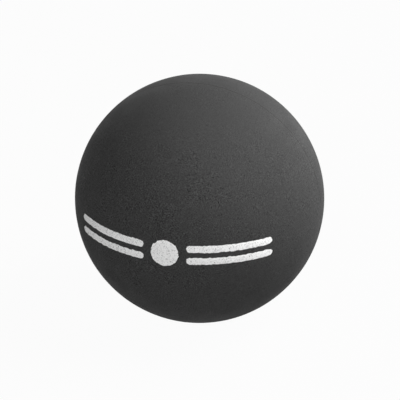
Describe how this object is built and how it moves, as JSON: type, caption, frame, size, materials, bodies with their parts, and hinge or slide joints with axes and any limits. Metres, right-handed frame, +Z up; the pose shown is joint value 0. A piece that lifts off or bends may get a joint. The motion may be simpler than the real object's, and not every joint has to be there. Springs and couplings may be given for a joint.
{
  "type": "squash ball",
  "caption": "Hollow matt black rubber ball for squash: moulded half shells cemented rim to rim round sealed air, with a plain white printed mark.",
  "frame": {"origin": "centre of the ball", "axes": "+Z up; the printed mark faces -Y and reads level, +X to its right; the half shells are cups about the Y axis and meet in the XZ plane"},
  "size_m": [0.04, 0.0401, 0.04],
  "materials": {
    "black_rubber": "matte",
    "rubber_cement": "matte",
    "white_ink": "matte"
  },
  "bodies": {
    "root": {"front_half_shell": "black_rubber", "rear_half_shell": "black_rubber", "seam_cement": "rubber_cement", "printed_stripes": "white_ink", "printed_dot": "white_ink"}
  },
  "joints": []
}
